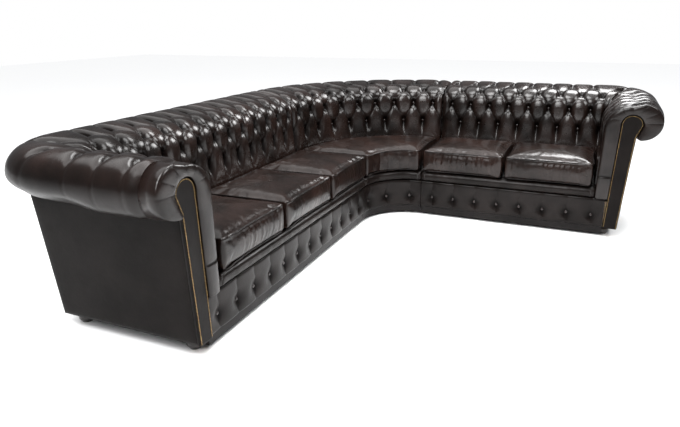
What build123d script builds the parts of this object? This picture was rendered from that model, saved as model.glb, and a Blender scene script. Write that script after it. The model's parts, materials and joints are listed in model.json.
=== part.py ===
from build123d import *
import os
from math import asin, cos, degrees, hypot, pi, radians, sin, sqrt

# Seats and runs, in millimetres
seat_width = 505.0
left_seats = 3
right_seats = 2
corner_reach = 969.0
joint_gap = 2.0
joint_turn = radians(0.3)

# Depths, measured from the back reference line towards the front
seat_back = 235.0
border_back = 676.0
border_front = 696.0
lip_back = 620.0
lip_front = 708.0
cushion_front = 722.0
facing_front = 704.0
ring_back = 640.0
ring_front = 718.0
outside_back_foot = 29.0
outside_back_head = -7.0

# Heights above the floor
foot_height = 54.0
plinth_bottom = 16.0
rail_height = 146.0
webbing_thick = 3.0
deck_thick = 78.0
lip_bottom = 221.0
border_fold_low = 86.0
border_button_z = 118.0
border_fold_high = 170.0
cushion_edge = 137.0
cushion_crown = 26.0

# Upright rows of deep buttons on the back and the inside arms
row_c_z = 520.0
row_b_step = 118.0
row_a_step = 97.0
row_o_step = 125.0
tuft_pitch = 126.0
tuft_crown = 18.0
tuck_radius = 25.0
fan_square = 0.75
slab_thick = 60.0
roof_z = 572.0

# Back section, as distances outwards from the inside back
back_lean = 20.0
back_shoulder = 90.0
back_shoulder_z = 640.0
back_roll_out = 244.0
back_roll_radius = 90.0

# Arm section, as distances outwards from the inside arm
arm_lean = 6.0
arm_shoulder = 115.0
arm_shoulder_z = 612.0
arm_roll_out = 182.0
arm_roll_radius = 85.0

# Arm front: padded ring round a flat facing with a beaded trim line
facing_in = 45.0
facing_width = 74.0
facing_thick = 14.0
facing_neck_z = 574.0
head_out = 131.0
head_z = 640.0
head_radius = 54.0
head_clear = 1.5
neck_clear = 0.9
head_share = 0.8
ring_swell = 12.0
ring_bottom = 225.0
ring_round = 20.0
ring_pleat = 4.0
ring_stations = 25
trim_inset = 4.0
trim_width = 4.0
trim_proud = 1.5
trim_foot_gap = 9.0

# Panels, boards and small pieces
panel_thick = 10.0
board = 25.0
post_width = 60.0
frame_depth = 20.0
plinth_depth = 29.0
plinth_setback = 12.0
strap_width = 50.0
strap_pitch = 110.0
corner_strap_pitch = 60.0
dust_thick = 2.0
border_sink = 16.0
border_fold_share = 0.5
border_edge_share = 0.25
button_radius = 11.0
button_root = 9.0
button_dome = 4.0
foot_radius = 33.0
foot_inset = 70.0
foot_profile = ((0.7, 0.0), (1.0, 0.28), (1.0, 0.56), (0.7, 0.8), (0.7, 1.0))
connector_width = 60.0
connector_thick = 3.0
connector_reach = 62.0
peg_radius = 5.0
peg_height = 8.0
peg_hole_clear = 1.0

# Cushion shape: how far its sides are drawn in, and shares of its plan at shares of its edge height
cushion_draw = 0.012
cushion_corner = 0.03
cushion_sides = ((0.95, 0.0), (0.99, 0.1), (1.0, 0.4), (1.0, 0.75), (0.985, 0.94))
cushion_top_rings = (0.94, 0.8, 0.55, 0.25)
cushion_side_steps = 6

# Clearances: fit within a unit, lift for a loose cushion, room round a cushion
fit = 0.3
cushion_lift_clear = 0.5
cushion_room = 24.0
cushion_part = 3.0

# Places worked out from the sizes above
run_length = {"left": left_seats * seat_width, "right": right_seats * seat_width}
run_start = corner_reach + joint_gap
arm_face = {unit: corner_reach + run_length[unit] for unit in run_length}
back_roll_z = roof_z + back_roll_radius
arm_roll_z = roof_z + arm_roll_radius
arm_reach = arm_roll_out + arm_roll_radius + tuft_crown
back_reach = back_roll_out + back_roll_radius + tuft_crown - seat_back
corner_x = (back_reach - arm_face["right"] - arm_reach) / 2
corner_y = (arm_face["left"] + arm_reach - back_reach) / 2
corner_axis = Axis((corner_x + corner_reach, corner_y - corner_reach, 0), (0, 0, -1))
corner_arc = 90 - 2 * degrees(joint_turn)
rail_top = foot_height + rail_height
deck_bottom = rail_top + webbing_thick
deck_top = deck_bottom + deck_thick
pad_bottom = deck_top + fit
cushion_bottom = deck_top + cushion_lift_clear
lip_top = deck_top
facing_out = facing_in + facing_width
facing_neck_out = head_out + head_radius / 2
run_sign = {"left": 1, "corner": -1, "right": -1}
front_sign = {"left": -1, "right": 1}
units = ("left", "corner", "right")
sides = ("left", "right")


def place(unit, along, depth, z):
    """Point of a unit: along its run (an angle round the corner), in from the back line, and up."""
    if unit == "left":
        return (corner_x + depth, corner_y - along, z)
    if unit == "right":
        return (corner_x + along, corner_y - depth, z)
    radius = corner_reach - depth
    return (
        corner_x + corner_reach - radius * cos(along),
        corner_y - corner_reach + radius * sin(along),
        z,
    )


def across(unit, along):
    """Section plane of a run, with depth as its x and height as its y."""
    turn = {"left": 0, "right": pi / 2}.get(unit, along)
    return Plane(
        origin=place(unit, along, 0, 0),
        x_dir=(cos(turn), -sin(turn), 0),
        z_dir=(-sin(turn), -cos(turn), 0),
    )


def arm_plane(unit, depth):
    """Plane of an arm's front, with distance out from the inside arm as its x and height as its y."""
    x_dir = (0, -1, 0) if unit == "left" else (1, 0, 0)
    z_dir = (-1, 0, 0) if unit == "left" else (0, -1, 0)
    return Plane(origin=place(unit, arm_face[unit], depth, 0), x_dir=x_dir, z_dir=z_dir)


def carry(unit, start, stop):
    """Carry the section just drawn along its run, or round the corner."""
    if unit == "corner":
        revolve(axis=corner_axis, revolution_arc=corner_arc)
    else:
        extrude(amount=(stop - start) * run_sign[unit])


def run_ends(unit, past_arm=0.0):
    """Where a piece starts and stops along its run, and how far it goes past the inside arm."""
    if unit == "corner":
        return joint_turn, pi / 2 - joint_turn
    return run_start, arm_face[unit] + past_arm


def finish(piece, label):
    """Name a finished piece and write it."""
    piece.part.label = label
    export_step(piece.part, f"parts/{label}.step")


def board_run(label, unit, outline, past_arm=0.0):
    """A piece of one section, given as depth and height, along the whole of its run."""
    start, stop = run_ends(unit, past_arm)
    with BuildPart() as piece:
        with BuildSketch(across(unit, start)):
            Polygon(*outline, align=None)
        carry(unit, start, stop)
    finish(piece, label)


panel_top = roof_z - fit


def back_out(z):
    """Depth of the outside back at a height: it leans out towards the top."""
    share = (z - foot_height) / (panel_top - foot_height)
    return outside_back_foot + (outside_back_head - outside_back_foot) * share


def arm_out(z):
    """Distance of the outside arm from the inside arm at a height: it leans out towards the top."""
    share = (z - foot_height) / (facing_neck_z - foot_height)
    return facing_out + (facing_neck_out - facing_out) * share


def facet(*points):
    """Flat face through points."""
    return Face(Wire.make_polygon([Vector(*point) for point in points], close=True))


def skin_solid(rings, heights):
    """Solid in triangles between closed rings of points, flat at both ends, creased on its low diagonals."""
    faces = [facet(*rings[0]), facet(*rings[-1])]
    count = len(rings[0])
    for i in range(len(rings) - 1):
        for j in range(count):
            k = (j + 1) % count
            near, far = rings[i], rings[i + 1]
            if heights[i][j] + heights[i + 1][k] <= heights[i + 1][j] + heights[i][k]:
                faces += [facet(near[j], near[k], far[k]), facet(near[j], far[k], far[j])]
            else:
                faces += [facet(near[j], near[k], far[j]), facet(near[k], far[k], far[j])]
    return Solid(Shell(faces))


def save_solid(solid, label):
    """Put a faceted solid in a part of its own and write it."""
    with BuildPart() as piece:
        add(solid)
    finish(piece, label)


class Section:
    """Scroll section: an upright face, a shoulder arc, a short top and a round roll."""

    def __init__(self, lean, shoulder, shoulder_z, roll_out, roll_radius):
        self.lean, self.shoulder, self.shoulder_z = lean, shoulder, shoulder_z
        self.roll_out, self.roll_radius, self.roll_z = roll_out, roll_radius, roof_z + roll_radius
        self.top_start = (lean + shoulder, shoulder_z + shoulder)
        self.top_stop = (roll_out, self.roll_z + roll_radius)
        self.top_length = hypot(roll_out - self.top_start[0], self.top_stop[1] - self.top_start[1])
        self.face_length = shoulder_z - row_c_z
        self.roll_start = self.face_length + shoulder * pi / 2 + self.top_length

    def at(self, reach):
        """Distance out, height and outward normal at a length along the section above row C."""
        if reach <= self.face_length:
            z = row_c_z + reach
            return self.lean * max(0.0, z - pad_bottom) / (self.shoulder_z - pad_bottom), z, -1.0, 0.0
        reach -= self.face_length
        if reach <= self.shoulder * pi / 2:
            turn = reach / self.shoulder
            out = self.lean + self.shoulder * (1 - cos(turn))
            return out, self.shoulder_z + self.shoulder * sin(turn), -cos(turn), sin(turn)
        reach -= self.shoulder * pi / 2
        if reach <= self.top_length:
            share = reach / self.top_length
            out = self.top_start[0] + share * (self.top_stop[0] - self.top_start[0])
            return out, self.top_start[1] + share * (self.top_stop[1] - self.top_start[1]), 0.0, 1.0
        turn = (reach - self.top_length) / self.roll_radius
        out = self.roll_out + self.roll_radius * sin(turn)
        return out, self.roll_z + self.roll_radius * cos(turn), sin(turn), cos(turn)

    def row(self, k):
        """Point at a row number: tuck-in -2, rows C, B, A and O 0 to 3, outermost roll 4 and its end 5."""
        row_a = row_b_step + row_a_step
        outermost = self.roll_start + self.roll_radius * pi / 2
        end = self.roll_start + self.roll_radius * pi
        known = [(-2, pad_bottom - row_c_z), (0, 0), (1, row_b_step), (2, row_a), (3, row_a + row_o_step)]
        known += [(4, outermost), (5, end)]
        low, start = max([known[0]] + [spot for spot in known[:-1] if spot[0] <= k])
        high, stop = min(spot for spot in known if spot[0] > low)
        return self.at(start + (stop - start) * (k - low) / (high - low))


back_section = Section(back_lean, back_shoulder, back_shoulder_z, back_roll_out, back_roll_radius)
arm_section = Section(arm_lean, arm_shoulder, arm_shoulder_z, arm_roll_out, arm_roll_radius)
row_numbers = [-2, -1, 0, 0.5, 1, 1.5, 2, 2.5, 3, 3.35, 3.7, 4, 4.35, 4.7, 5]
edge_rows = (row_numbers[0], row_numbers[-1])


def tuft_height(column, k):
    """Share of the full crown at a place of the diamonds: 0 on pleats and buttons, 1 in mid diamond."""
    inside = min(max(k, 0), 3)
    return sqrt(abs(sin(pi * (column + inside) / 2) * sin(pi * (column - inside) / 2)))


def pad_ring(column, swell, spot, inner_back):
    """Closed ring of pad points at one column, with their crown shares, from the tuck-in over the roll."""
    ring, heights = [], []
    for k in row_numbers:
        out, z, normal_out, normal_z, room = spot(k)
        share = 0 if k in edge_rows else tuft_height(column, k)
        crown = tuft_crown * share * swell * room
        ring.append((out + normal_out * crown, z + normal_z * crown))
        heights.append(share)
    roof = ring[-1][1]
    ring += [(inner_back, roof), (inner_back, pad_bottom)]
    return ring, heights + [0, 0]


def end_swell(column, last):
    """Swelling that fades to nothing at the two ends of a pad, where its cover is drawn in."""
    return min(1.0, 2 * min(column, last - column))


def straight_spot(section):
    """Section points of a straight pad, with full room to swell."""
    return lambda k: (*section.row(k), 1.0)


def fan_spot(blend):
    """Section points part of the way round from back to arm, with less room to swell inside and below."""

    def spot(k):
        out_b, z_b, nout_b, nz_b = back_section.row(k)
        out_a, z_a, nout_a, nz_a = arm_section.row(k)
        share = sin(blend * pi / 2) ** 2
        mix = [b + (a - b) * share for b, a in ((out_b, out_a), (z_b, z_a), (nout_b, nout_a), (nz_b, nz_a))]
        room = min(1.0, (mix[0] + tuck_radius) / (tuck_radius + back_shoulder))
        return (*mix, room if k < fan_plain_row else 0.0)

    return spot


def half_columns(length):
    """Number of half tuft pitches that fit a length, always even."""
    return 2 * round(length / tuft_pitch)


corner_inner = corner_reach - seat_back
columns = {unit: half_columns(run_length[unit] - tuck_radius) for unit in sides}
columns["corner"] = half_columns(corner_inner * pi / 2)
fan_columns = 4
fan_plain_row = 4.5
arm_start = seat_back + tuck_radius
arm_columns = round((ring_back - arm_start) / (tuft_pitch / 2))


def fan_place(unit, turn, out, z):
    """Plan place of a section point, turning from the back to the arm about the rounded inside corner."""
    depth = seat_back + tuck_radius - (tuck_radius + out) * cos(turn) ** fan_square
    along = arm_face[unit] - tuck_radius + (tuck_radius + out) * sin(turn) ** fan_square
    return place(unit, along, depth, z)


def back_pad(unit):
    """Deep buttoned inside back with its roll, carried round the inside corner where an arm follows."""
    rings, heights = [], []
    last = columns[unit]
    slab_back = back_lean + slab_thick
    start, stop = run_ends(unit, -tuck_radius)
    for step in range(2 * last + 1):
        column = step / 2
        along = start + (stop - start) * column / last
        swell = end_swell(column, last) if unit == "corner" else min(1.0, 2 * column)
        ring, height = pad_ring(column, swell, straight_spot(back_section), slab_back)
        rings.append([place(unit, along, seat_back - out, z) for out, z in ring])
        heights.append(height)
    if unit != "corner":
        for step in range(1, 2 * fan_columns + 1):
            blend = step / (2 * fan_columns)
            ring, height = pad_ring(last + step / 2, 1.0, fan_spot(blend), slab_back)
            rings.append([fan_place(unit, blend * pi / 2, out, z) for out, z in ring])
            heights.append(height)
    return skin_solid(rings, heights)


def arm_pad(unit):
    """Deep buttoned inside arm with its roll, from the inside corner to the front ring."""
    rings, heights = [], []
    first = columns[unit] + fan_columns
    slab_back = back_lean + slab_thick
    start, stop = arm_start + fit, ring_back - fit
    for step in range(2 * arm_columns + 1):
        column = step / 2
        depth = start + (stop - start) * column / arm_columns
        swell = min(1.0, 2 * (arm_columns - column))
        ring, height = pad_ring(first + column, swell, fan_spot(1.0), slab_back)
        rings.append([place(unit, arm_face[unit] + out, depth, z) for out, z in ring])
        heights.append(height)
    return skin_solid(rings, heights)


with BuildPart() as button:
    with BuildSketch(Plane.XZ):
        with BuildLine():
            Polyline((0, 0), (button_radius, button_root), (0, button_root + button_dome), close=True)
        make_face()
    revolve(axis=Axis.Z)


def button_at(point, normal):
    """One covered button, its tapered root reaching into a pit, standing along a normal."""
    return button.part.moved(Plane(origin=point + normal * fit, z_dir=normal).location)


def back_buttons(unit):
    """Places and normals of the buttons of a back, and of the arm that follows it."""
    spots = []
    last = columns[unit]
    start, stop = run_ends(unit, -tuck_radius)
    for k in range(4):
        out, z, normal_out, normal_z = back_section.row(k)
        for column in range(1, last):
            if (column + k) % 2 == 0:
                along = start + (stop - start) * column / last
                base = Vector(*place(unit, along, seat_back - out, z))
                tip = Vector(*place(unit, along, seat_back - out - normal_out, z + normal_z))
                spots.append((base, tip - base))
        if unit == "corner":
            continue
        out, z, normal_out, normal_z = arm_section.row(k)
        for column in range(1, arm_columns):
            if (last + fan_columns + column + k) % 2 == 0:
                depth = arm_start + fit + (ring_back - arm_start - 2 * fit) * column / arm_columns
                base = Vector(*place(unit, arm_face[unit] + out, depth, z))
                tip = Vector(*place(unit, arm_face[unit] + out + normal_out, depth, z + normal_z))
                spots.append((base, tip - base))
    return spots


border_stop = {unit: facing_in - fit for unit in sides}
border_stop["corner"] = 0.0
border_arc = (corner_reach - border_front) * pi / 2
border_columns = {unit: half_columns(run_length[unit] + facing_in) for unit in sides}
border_columns["corner"] = half_columns(border_arc)
border_rows = [(foot_height, border_edge_share), (border_fold_low, border_fold_share), (border_button_z, 1.0)]
border_rows += [(border_fold_high, border_fold_share), (lip_bottom - fit, border_edge_share)]


def front_border(unit):
    """Padded front border with one row of buttons, pleated straight up and down through each of them."""
    rings, heights = [], []
    last = border_columns[unit]
    start, stop = run_ends(unit, border_stop[unit])
    for column in range(last + 1):
        along = start + (stop - start) * column / last
        share = 1 - column % 2
        ring, height = [], []
        for z, depth_share in border_rows:
            sink = border_sink * depth_share * (1 - share)
            ring.append(place(unit, along, border_front - sink, z))
            height.append(share)
        for z in (border_rows[-1][0], foot_height):
            ring.append(place(unit, along, border_back, z))
        rings.append(ring)
        heights.append(height + [0, 0])
    return skin_solid(rings, heights)


def border_buttons(unit):
    """Places and normals of the buttons of a front border."""
    spots = []
    last = border_columns[unit]
    start, stop = run_ends(unit, border_stop[unit])
    for column in range(1, last, 2):
        along = start + (stop - start) * column / last
        base = Vector(*place(unit, along, border_front - border_sink, border_button_z))
        tip = Vector(*place(unit, along, border_front - border_sink + 1, border_button_z))
        spots.append((base, tip - base))
    return spots


def seat_cushion(spread):
    """Loose box cushion: sides drawn in between the corners, a soft edge and a crowned top."""
    edge = []
    for side in range(4):
        for i in range(cushion_side_steps):
            run = -1 + (2 * i / cushion_side_steps if i else cushion_corner)
            pull = 1 - cushion_draw * (1 - run * run)
            edge.append({0: (run, -pull), 1: (pull, run), 2: (-run, pull), 3: (-pull, -run)}[side])
    top = cushion_bottom + cushion_edge
    levels = [(share, cushion_bottom + cushion_edge * rise) for share, rise in cushion_sides]
    levels += [(share, top + cushion_crown * (1 - share * share)) for share in cushion_top_rings]
    rings = [[spread(x * share, y * share, z) for x, y in edge] for share, z in levels]
    return skin_solid(rings, [[0] * len(edge) for _ in levels])


def straight_spread(unit, seat):
    """Plan of one seat in a straight run, from a square of two units each way."""
    room = run_length[unit] - joint_gap - cushion_part - cushion_room
    width = room / {"left": left_seats, "right": right_seats}[unit]
    middle = run_start + cushion_part + width * (seat + 0.5)
    half_width = (width - cushion_part) / 2
    half_depth = (cushion_front - seat_back - cushion_room) / 2
    mid_depth = (cushion_front + seat_back + cushion_room) / 2
    return lambda x, y, z: place(unit, middle + half_width * x, mid_depth + half_depth * y, z)


def corner_spread():
    """Plan of the corner seat, a quarter ring, from a square of two units each way."""
    half_depth = (cushion_front - seat_back - cushion_room) / 2
    mid_depth = (cushion_front + seat_back + cushion_room) / 2
    half_turn = pi / 4 - asin(cushion_part / (corner_reach - cushion_front))
    return lambda x, y, z: place("corner", pi / 4 + half_turn * x, mid_depth + half_depth * y, z)


def moved_line(start, end, inset):
    """Line through two points, as a point and a unit direction, moved to its left by an inset."""
    length = hypot(end[0] - start[0], end[1] - start[1])
    step_out = (end[0] - start[0]) / length
    step_z = (end[1] - start[1]) / length
    return (start[0] - step_z * inset, start[1] + step_out * inset), (step_out, step_z)


def lines_meet(first, second):
    """Point where two lines cross."""
    (out, z), (step_out, step_z) = first
    (other_out, other_z), (other_step_out, other_step_z) = second
    spread = step_out * other_step_z - step_z * other_step_out
    reach = ((other_out - out) * other_step_z - (other_z - z) * other_step_out) / spread
    return out + step_out * reach, z + step_z * reach


def line_meets_head(line, radius, corner):
    """Point nearest to a corner where a line crosses a circle round the middle of the head."""
    (out, z), (step_out, step_z) = line
    middle = (head_out - out) * step_out + (head_z - z) * step_z
    miss = hypot(out + step_out * middle - head_out, z + step_z * middle - head_z)
    half = sqrt(max(0.0, radius**2 - miss**2))
    points = [(out + step_out * reach, z + step_z * reach) for reach in (middle - half, middle + half)]
    return min(points, key=lambda point: hypot(point[0] - corner[0], point[1] - corner[1]))


def facing_face(inset=0.0):
    """Flat outline of an arm facing, drawn in by an inset: a leaning strip that ends in a round head."""
    corners = [(head_out - head_radius, head_z), (facing_in, foot_height), (facing_out, foot_height)]
    corners += [(facing_neck_out, facing_neck_z), (head_out + head_radius, head_z)]
    sides = [moved_line(start, end, inset) for start, end in zip(corners, corners[1:])]
    bends = [lines_meet(first, second) for first, second in zip(sides, sides[1:])]
    radius = head_radius - inset
    head_left = line_meets_head(sides[0], radius, corners[0])
    head_right = line_meets_head(sides[-1], radius, corners[-1])
    with BuildSketch() as outline:
        with BuildLine():
            Polyline(head_left, *bends, head_right)
            ThreePointArc(head_right, (head_out, head_z + radius), head_left)
        make_face()
    return outline.sketch


def facing_edge(share):
    """Point beside the facing's edge, from 0 to 1: over the round head and down its outer side."""
    clear = head_radius + head_clear
    if share < head_share:
        turn = pi * (1 - share / head_share)
        return head_out + clear * cos(turn), head_z + clear * sin(turn)
    down = (share - head_share) / (1 - head_share)
    neck_out = arm_out(roof_z) + neck_clear
    return head_out + clear + (neck_out - head_out - clear) * down, head_z + (roof_z - head_z) * down


def arm_ring(unit):
    """Padded ring round the facing: a rounded, pleated band up the inside, over the head,
    and down under the roll."""
    rings, heights = [], []
    start = ring_bottom - row_c_z
    stop = arm_section.roll_start + arm_section.roll_radius * pi
    for station in range(ring_stations + 1):
        reach = start + (stop - start) * station / ring_stations
        out, z, normal_out, normal_z = arm_section.at(reach)
        rim = (out + normal_out * ring_swell, z + normal_z * ring_swell)
        lean = (head_out - head_radius - facing_in) * (z - foot_height) / (head_z - foot_height)
        inner = (facing_in + lean - fit, z)
        if reach > arm_section.face_length:
            inner = facing_edge((reach - arm_section.face_length) / (stop - arm_section.face_length))
        pleat = ring_pleat * (station % 2)
        shoulder = ring_front - ring_round / 4
        section = [(0, ring_back), (0, ring_front - ring_round), (0.2, shoulder - pleat)]
        section += [(0.5, ring_front - pleat), (0.8, shoulder), (1, facing_front), (1, ring_back)]
        ring = []
        for share, depth in section:
            v, height = (rim[i] + (inner[i] - rim[i]) * share for i in range(2))
            ring.append(place(unit, arm_face[unit] + v, depth, height))
        rings.append(ring)
        heights.append([0] * len(section))
    return skin_solid(rings, heights)


os.makedirs("parts", exist_ok=True)

# Base frames: long rails on edge with cross rails between them
frame_back = outside_back_foot + panel_thick + fit
frame_front = border_back - fit
arm_frame_out = facing_out - panel_thick - fit
rail_mid = foot_height + rail_height / 2
for unit in units:
    start, stop = run_ends(unit, arm_frame_out)
    bays = {"left": left_seats + 1, "corner": 2, "right": right_seats + 1}[unit]
    cross_rails = [(start + (stop - start) * i / bays, 1) for i in range(bays)]
    cross_rails.append((stop, -1))
    with BuildPart() as base_frame:
        with BuildSketch(across(unit, start)):
            with Locations((frame_back + board / 2, rail_mid), (frame_front - board / 2, rail_mid)):
                Rectangle(board, rail_height)
        carry(unit, start, stop)
        for along, side in cross_rails:
            with BuildSketch(across(unit, along)):
                with Locations(((frame_back + frame_front) / 2, rail_mid)):
                    Rectangle(frame_front - frame_back - board, rail_height)
            extrude(amount=board * run_sign[unit] * side)
    finish(base_frame, f"{unit}_base_frame")

# Back frames: leaning posts between a bottom rail and a top rail
def back_board(low, high, set_in=0.0):
    """Leaning section of the back frame between two heights, set in from the outside panel."""
    behind = panel_thick + fit
    return [
        (back_out(low) + behind + set_in, low),
        (back_out(low) + behind + frame_depth - set_in / 2, low),
        (back_out(high) + behind + frame_depth - set_in / 2, high),
        (back_out(high) + behind + set_in, high),
    ]


def arm_board(low, high):
    """Leaning section of the arm frame between two heights."""
    inside = panel_thick + fit
    return [
        (arm_out(low) - inside - frame_depth, low),
        (arm_out(low) - inside, low),
        (arm_out(high) - inside, high),
        (arm_out(high) - inside - frame_depth, high),
    ]


for unit in units:
    start, stop = run_ends(unit, -tuck_radius)
    post_set_in = post_width**2 / corner_reach if unit == "corner" else 0.0
    bays = {"left": left_seats, "corner": 3, "right": right_seats}[unit]
    posts = [(start + (stop - start) * i / bays, 1) for i in range(bays)]
    posts.append((stop, -1))
    with BuildPart() as back_frame:
        with BuildSketch(across(unit, start)):
            Polygon(*back_board(rail_top, rail_top + post_width), align=None)
        carry(unit, start, stop)
        with BuildSketch(across(unit, start)):
            Polygon(*back_board(panel_top - post_width, panel_top), align=None)
        carry(unit, start, stop)
        for along, side in posts:
            with BuildSketch(across(unit, along)):
                Polygon(*back_board(rail_top, panel_top, post_set_in), align=None)
            extrude(amount=post_width * run_sign[unit] * side)
    finish(back_frame, f"{unit}_back_frame")

# Arm frames: two posts with rails, and outside panels that meet at the leaning rear corner
facing_back = facing_front - facing_thick
arm_frame_back = back_out(rail_top) + panel_thick + frame_depth + 2 * fit
arm_frame_front = facing_back - fit
panel_edges = [(foot_height, 0), (foot_height, panel_thick), (panel_top, panel_thick), (panel_top, 0)]
for unit in sides:
    forward = front_sign[unit]
    with BuildPart() as arm_frame:
        with BuildSketch(arm_plane(unit, arm_frame_back)):
            Polygon(*arm_board(rail_top, rail_top + post_width), align=None)
        extrude(amount=(arm_frame_front - arm_frame_back) * forward)
        with BuildSketch(arm_plane(unit, arm_frame_back)):
            Polygon(*arm_board(panel_top - post_width, panel_top), align=None)
        extrude(amount=(arm_frame_front - arm_frame_back) * forward)
        for depth in (arm_frame_back, arm_frame_front - post_width):
            with BuildSketch(arm_plane(unit, depth)):
                Polygon(*arm_board(rail_top, panel_top), align=None)
            extrude(amount=post_width * forward)
    finish(arm_frame, f"{unit}_arm_frame")

    rings = []
    for front in (False, True):
        ring = []
        for z, thick in panel_edges:
            depth = facing_back - fit if front else back_out(z)
            ring.append(place(unit, arm_face[unit] + arm_out(z) - thick, depth, z))
        rings.append(ring)
    save_solid(skin_solid(rings, [[0] * 4] * 2), f"{unit}_outside_arm")

    rings = []
    for far in (False, True):
        ring = []
        for z, thick in panel_edges:
            end = arm_face[unit] + arm_out(z) - panel_thick - fit
            ring.append(place(unit, end if far else run_start, back_out(z) + thick, z))
        rings.append(ring)
    save_solid(skin_solid(rings, [[0] * 4] * 2), f"{unit}_outside_back")

board_run("corner_outside_back", "corner", [(back_out(z) + thick, z) for z, thick in panel_edges])

# Seat platform: straps over the rails, a sprung deck and the padded lip in front of it
deck_back = back_out(rail_top) + panel_thick + frame_depth + 2 * fit
strap_back = deck_back + strap_width**2 / corner_reach
deck_past = arm_out(rail_top) - panel_thick - frame_depth - 3 * fit
lip_round = (lip_top - lip_bottom) / 2
for unit in units:
    start, stop = run_ends(unit)
    length = (corner_reach - border_front) * pi / 2 if unit == "corner" else stop - start
    straps = int(length / (corner_strap_pitch if unit == "corner" else strap_pitch))
    with BuildPart() as webbing:
        for i in range(straps):
            with BuildSketch(across(unit, start + (stop - start) * (i + 0.5) / straps)):
                with Locations(((strap_back + frame_front) / 2, rail_top + webbing_thick / 2)):
                    Rectangle(frame_front - strap_back, webbing_thick)
            extrude(amount=strap_width / 2, both=True)
    finish(webbing, f"{unit}_seat_webbing")

    deck_front = lip_back - fit
    deck = [(deck_back, deck_bottom), (deck_front, deck_bottom)]
    deck += [(deck_front, deck_top), (deck_back, deck_top)]
    board_run(f"{unit}_seat_deck", unit, deck, deck_past)

    start, stop = run_ends(unit, -ring_swell - fit)
    with BuildPart() as lip:
        with BuildSketch(across(unit, start)):
            with BuildLine():
                Polyline((lip_front - lip_round, lip_top), (lip_back, lip_top), (lip_back, lip_bottom),
                         (lip_front - lip_round, lip_bottom))
                ThreePointArc((lip_front - lip_round, lip_bottom), (lip_front, lip_bottom + lip_round),
                              (lip_front - lip_round, lip_top))
            make_face()
        carry(unit, start, stop)
    finish(lip, f"{unit}_seat_lip")

# Front borders with their plinth rails, and the cloth under each unit
plinth_front = border_front - plinth_setback
cover_front = plinth_front - plinth_depth - fit
for unit in units:
    save_solid(front_border(unit), f"{unit}_front_border")
    plinth = [(plinth_front - plinth_depth, plinth_bottom), (plinth_front, plinth_bottom),
              (plinth_front, foot_height), (plinth_front - plinth_depth, foot_height)]
    board_run(f"{unit}_plinth_rail", unit, plinth, border_stop[unit])
    cover = [(frame_back, foot_height - dust_thick), (cover_front, foot_height - dust_thick),
             (cover_front, foot_height), (frame_back, foot_height)]
    board_run(f"{unit}_dust_cover", unit, cover, arm_frame_out)

# Deep buttoned pads and their buttons
for unit in units:
    save_solid(back_pad(unit), f"{unit}_back_pad")
    spots = back_buttons(unit) + border_buttons(unit)
    buttons = Compound([button_at(*spot) for spot in spots])
    buttons.label = f"{unit}_buttons"
    export_step(buttons, f"parts/{unit}_buttons.step")

# Arm pads with the padded ring, the facing and its beaded trim on the front
for unit in sides:
    forward = front_sign[unit]
    save_solid(arm_pad(unit), f"{unit}_arm_pad")

    save_solid(arm_ring(unit), f"{unit}_arm_ring")

    with BuildPart() as facing:
        with BuildSketch(arm_plane(unit, facing_back)):
            add(facing_face())
        extrude(amount=facing_thick * forward)
    finish(facing, f"{unit}_arm_facing")

    with BuildPart() as trim:
        with BuildSketch(arm_plane(unit, facing_front)):
            add(facing_face(trim_inset))
            add(facing_face(trim_inset + trim_width), mode=Mode.SUBTRACT)
            with Locations((facing_in + facing_width / 2, foot_height)):
                Rectangle(2 * facing_width, 2 * trim_foot_gap, mode=Mode.SUBTRACT)
        extrude(amount=trim_proud * forward)
    finish(trim, f"{unit}_facing_trim")

# Loose seat cushions
for unit, seats in (("left", left_seats), ("right", right_seats)):
    for seat in range(seats):
        save_solid(seat_cushion(straight_spread(unit, seat)), f"{unit}_seat_cushion_{seat + 1}")
save_solid(seat_cushion(corner_spread()), "corner_seat_cushion")

# Turned bun feet under the corners of every unit
foot_top = foot_height - dust_thick
with BuildPart() as foot:
    with BuildSketch(Plane.XZ):
        with BuildLine():
            outline = [(foot_radius * wide, foot_top * high) for wide, high in foot_profile]
            Polyline((0, 0), *outline, (0, foot_top), close=True)
        make_face()
    revolve(axis=Axis.Z)
for unit in units:
    start, stop = run_ends(unit, facing_out)
    low, high = foot_inset + frame_back - foot_radius, cover_front - foot_radius
    if unit == "corner":
        turn = asin(foot_inset / (corner_reach - high))
        spots = [(along, high) for along in (turn, pi / 2 - turn)]
        spots += [(along, low) for along in (turn / 2, pi / 4, pi / 2 - turn / 2)]
    else:
        ends = (start + foot_inset, stop - foot_inset)
        spots = [(along, depth) for along in ends for depth in (low, high)]
    feet = Compound([foot.part.moved(Location(place(unit, along, depth, 0))) for along, depth in spots])
    feet.label = f"{unit}_feet"
    export_step(feet, f"parts/{unit}_feet.step")

# Joint brackets: an upright peg on the corner unit drops into a socket plate under each neighbour
socket_thick = peg_height
peg_along = board + connector_reach / 2
bracket_depths = (seat_back, (seat_back + border_back) / 2 + connector_width)
for unit in sides:
    with BuildPart() as sockets:
        for depth in bracket_depths:
            with BuildSketch(across(unit, run_start)):
                with Locations((depth, foot_top - socket_thick / 2)):
                    Rectangle(connector_width, socket_thick)
            extrude(amount=(board + connector_reach) * run_sign[unit])
            peg_spot = place(unit, run_start + peg_along, depth, foot_top)
            with Locations(peg_spot):
                Hole(peg_radius + peg_hole_clear, depth=socket_thick)
    finish(sockets, f"{unit}_joint_sockets")

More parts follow.
